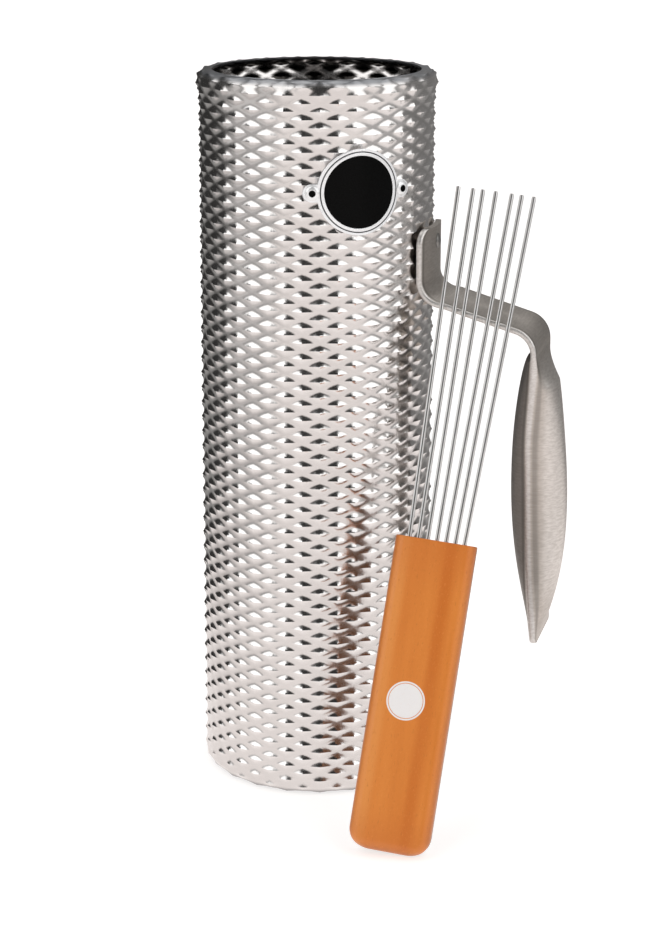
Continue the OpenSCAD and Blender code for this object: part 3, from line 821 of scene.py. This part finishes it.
# Where the scraper stands: its tines touch the near edge of the arm and the wood stands on the floor
REST_EDGE = ARM_START + REST_ALONG * heading(-ARM_FALL) + STRAP_T / 2 * side(-ARM_FALL)
REST_POINT = np.array([REST_EDGE[0], -STRAP_W / 2, REST_EDGE[1]])
REST_BACK = (TINE_D / 2 + REST_GAP) * leaning([0, 1, 0])
REST_AXIS = leaning([0, 0, 1])
WOOD_LOW = leaning(wood_local())[..., 2].min()
FOOT = REST_POINT - REST_BACK - REST_AXIS * (REST_POINT[2] - REST_BACK[2] + WOOD_LOW) / REST_AXIS[2]


def wood_surface():
    """The wooden handle in place, its two ends closed by strips, with UV across and along. Also marks
    the front half."""
    local = wood_local()
    rows, n = local.shape[:2]
    j = np.arange(n // 2 - 1)
    strip = np.stack([j, j + 1, n - 2 - j, n - 1 - j], -1)
    faces = [grid_faces(rows, n), strip[:, ::-1], (rows - 1) * n + strip]
    return leaning(local) + FOOT, faces, local[..., [0, 2]] * MM, {"front": local[..., 1] < 0}


def tine_surface(i):
    """A wire: circles carried along the straight line from its seat to its bent tip, with a worn, cut end.
    UV is round and along."""
    n = 28
    turn = full_turn(n)
    place = i - (TINES - 1) // 2
    base = place * TINE_BASE_PITCH
    tip = place * TINE_TIP_PITCH + TINE_TIP_SET + TINE_L * math.tan(TINE_BEND[i])
    z = np.r_[-TINE_SEAT, np.linspace(0, TINE_L - TINE_STRAIGHT, 60), TINE_L - TINE_WORN[:, 0]][:, None]
    rows = len(z)
    r = TINE_D / 2 - np.r_[np.zeros(rows - len(TINE_WORN)), TINE_WORN[:, 1]][:, None]
    local = np.stack(np.broadcast_arrays(r * np.cos(turn), r * np.sin(turn), z), -1)
    local = about_y(local, math.atan2(tip - base, TINE_L)) + [base, 0, WOOD_L]
    local = np.vstack([local.reshape(-1, 3), local[[0, -1]].mean(1)])
    uv = np.stack(np.broadcast_arrays(turn * TINE_D / 2, z), -1).reshape(-1, 2)
    faces = [part[:, ::-1] for part in capped_faces(rows, n)]
    return leaning(local) + FOOT, faces, np.vstack([uv, uv[[0, -1]]]) * MM


def pale_floor():
    """A wide round floor of rings; its own glow keeps the shadow on it faint."""
    n = 96
    turn, r = full_turn(n), FLOOR_RINGS[:, None]
    rings = np.stack(np.broadcast_arrays(r * np.cos(turn), r * np.sin(turn), 0.0), -1).reshape(-1, 3)
    s = Shader("pale_floor", Roughness=1.0, Specular_IOR_Level=0.0, Base_Color=(0.55, 0.54, 0.535, 1),
               Emission_Color=(1.0, 0.985, 0.975, 1), Emission_Strength=0.72)
    floor = new_object("floor", np.vstack([rings, np.zeros(3)]), capped_faces(len(FLOOR_RINGS), n)[:2], s.material)
    floor.visible_glossy = False


def white_paper():
    """A flat sheet of paper under the object, from behind it to below the camera: a grid of two by two
    points turned to the camera, dimmer on the left. Only reflections see it; the camera sees the floor."""
    right, front = (x.ravel() for x in np.meshgrid([-PAPER_LEFT, PAPER_RIGHT], [PAPER_BACK, -PAPER_FRONT]))
    c, s = math.cos(CAMERA_TURN), math.sin(CAMERA_TURN)
    points = np.stack([right * c - front * s, right * s + front * c, np.full(4, PAPER_Z)], -1)
    shade = Shader("white_paper", Roughness=1.0, Specular_IOR_Level=0.0, Base_Color=(0, 0, 0, 1),
                   Emission_Color=(1.0, 0.945, 0.925, 1))
    shade.into("Emission Strength", shade.span(shade.split(shade.place())["X"], -0.42, -0.04, 0.58, 0.98))
    paper = new_object("paper", points, [np.array([(2, 3, 1, 0)])], shade.material)
    paper.visible_camera = paper.visible_diffuse = paper.visible_shadow = False


def photo_camera():
    """A camera at the photograph's angle: turned round the tube, tilted down, its axis through PRINCIPAL."""
    data = bpy.data.cameras.new("camera")
    data.sensor_fit = "AUTO"
    data.sensor_width = SENSOR
    data.lens = FOCAL_PX * SENSOR / IMAGE[1]
    data.shift_x = (IMAGE[0] / 2 - PRINCIPAL[0]) / IMAGE[1]
    data.shift_y = (PRINCIPAL[1] - IMAGE[1] / 2) / IMAGE[1]
    data.clip_start, data.clip_end = 0.05, 50.0
    camera = bpy.data.objects.new("camera", data)
    bpy.context.scene.collection.objects.link(camera)
    camera.matrix_world = (Matrix.Rotation(CAMERA_TURN, 4, "Z")
                           @ Matrix.Translation([x * MM for x in CAMERA_AT])
                           @ Matrix.Rotation(math.pi / 2 - CAMERA_TILT, 4, "X"))
    bpy.context.scene.camera = camera


def studio_light():
    """A dim room with a soft box left and right of the camera, two high ones and a dim wall behind the
    object, a pale apron low in front and dim ground below. Azimuth is measured from the camera's side,
    elevation from level, and each light is a window in both, added to the room's own light."""
    world = bpy.data.worlds.new("studio")
    bpy.context.scene.world = world
    world.use_nodes = True
    world.node_tree.nodes.clear()
    w = Nodes(world.node_tree)

    def window(value, low, high, soft):
        """1 between low and high, falling smoothly to 0 over soft on both sides of each."""
        low, high, soft = (math.radians(x) for x in (low, high, soft))
        return w.band(value, low - soft, low + soft, high - soft, high + soft)

    direction = w.add("ShaderNodeTexCoord").outputs["Generated"]
    turned = w.add("ShaderNodeVectorRotate", {"Vector": direction, "Angle": -CAMERA_TURN}, rotation_type="Z_AXIS")
    axes = w.split(turned.outputs["Vector"])
    azimuth = w.math("ARCTAN2", axes["X"], w.times(axes["Y"], -1.0))
    elevation = w.math("ARCSINE", axes["Z"])
    total = w.add("ShaderNodeCombineXYZ", dict(zip("XYZ", ROOM_LIGHT))).outputs["Vector"]
    for low, high, low_e, high_e, soft, colour in LIGHTS:
        share = w.times(window(azimuth, low, high, soft), window(elevation, low_e, high_e, soft))
        glow = w.add("ShaderNodeVectorMath", {0: colour, "Scale": share}, operation="SCALE").outputs["Vector"]
        total = w.add("ShaderNodeVectorMath", {0: total, 1: glow}, operation="ADD").outputs["Vector"]
    background = w.add("ShaderNodeBackground", {"Color": total, "Strength": 1.0}).outputs["Background"]
    w.add("ShaderNodeOutputWorld", {"Surface": background})


make_piece("tube", "body_shell", "guiro", "embossed_steel", embossed_steel(), 20, *tube_surface())
make_piece("strap_handle", "handle", "guiro", "satin_steel", satin_steel(), 50, *strap_surface())
make_piece("badge_border", "badge_plate", "guiro", "bright_steel", white_plate(), 50, *plate_surface())
eyelet = eyelet_steel()
for side_name, sign in (("left", -1), ("right", 1)):
    make_piece("eyelet_" + side_name, "badge_rivet_" + side_name, "guiro", "bright_steel", eyelet, 40,
               *rivet_surface(sign))
make_piece("badge_face", "badge_enamel", "guiro", "black_enamel", black_enamel(), 50, *enamel_surface())
make_piece("wood_grip", "scraper_handle", "scraper", "orange_wood", orange_wood(), 50, *wood_surface())
wire = drawn_wire()
for i in range(TINES):
    make_piece("wire_%d" % (i + 1), "tine_%d" % (i + 1), "scraper", "tine_steel", wire, 50, *tine_surface(i))
dull = dull_steel()
for name in ("handle_rivet", "handle_washer"):
    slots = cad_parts[name].data.materials
    slots.clear()
    slots.append(dull)

pale_floor()
white_paper()
photo_camera()
studio_light()
bpy.context.scene.view_settings.view_transform = "Standard"
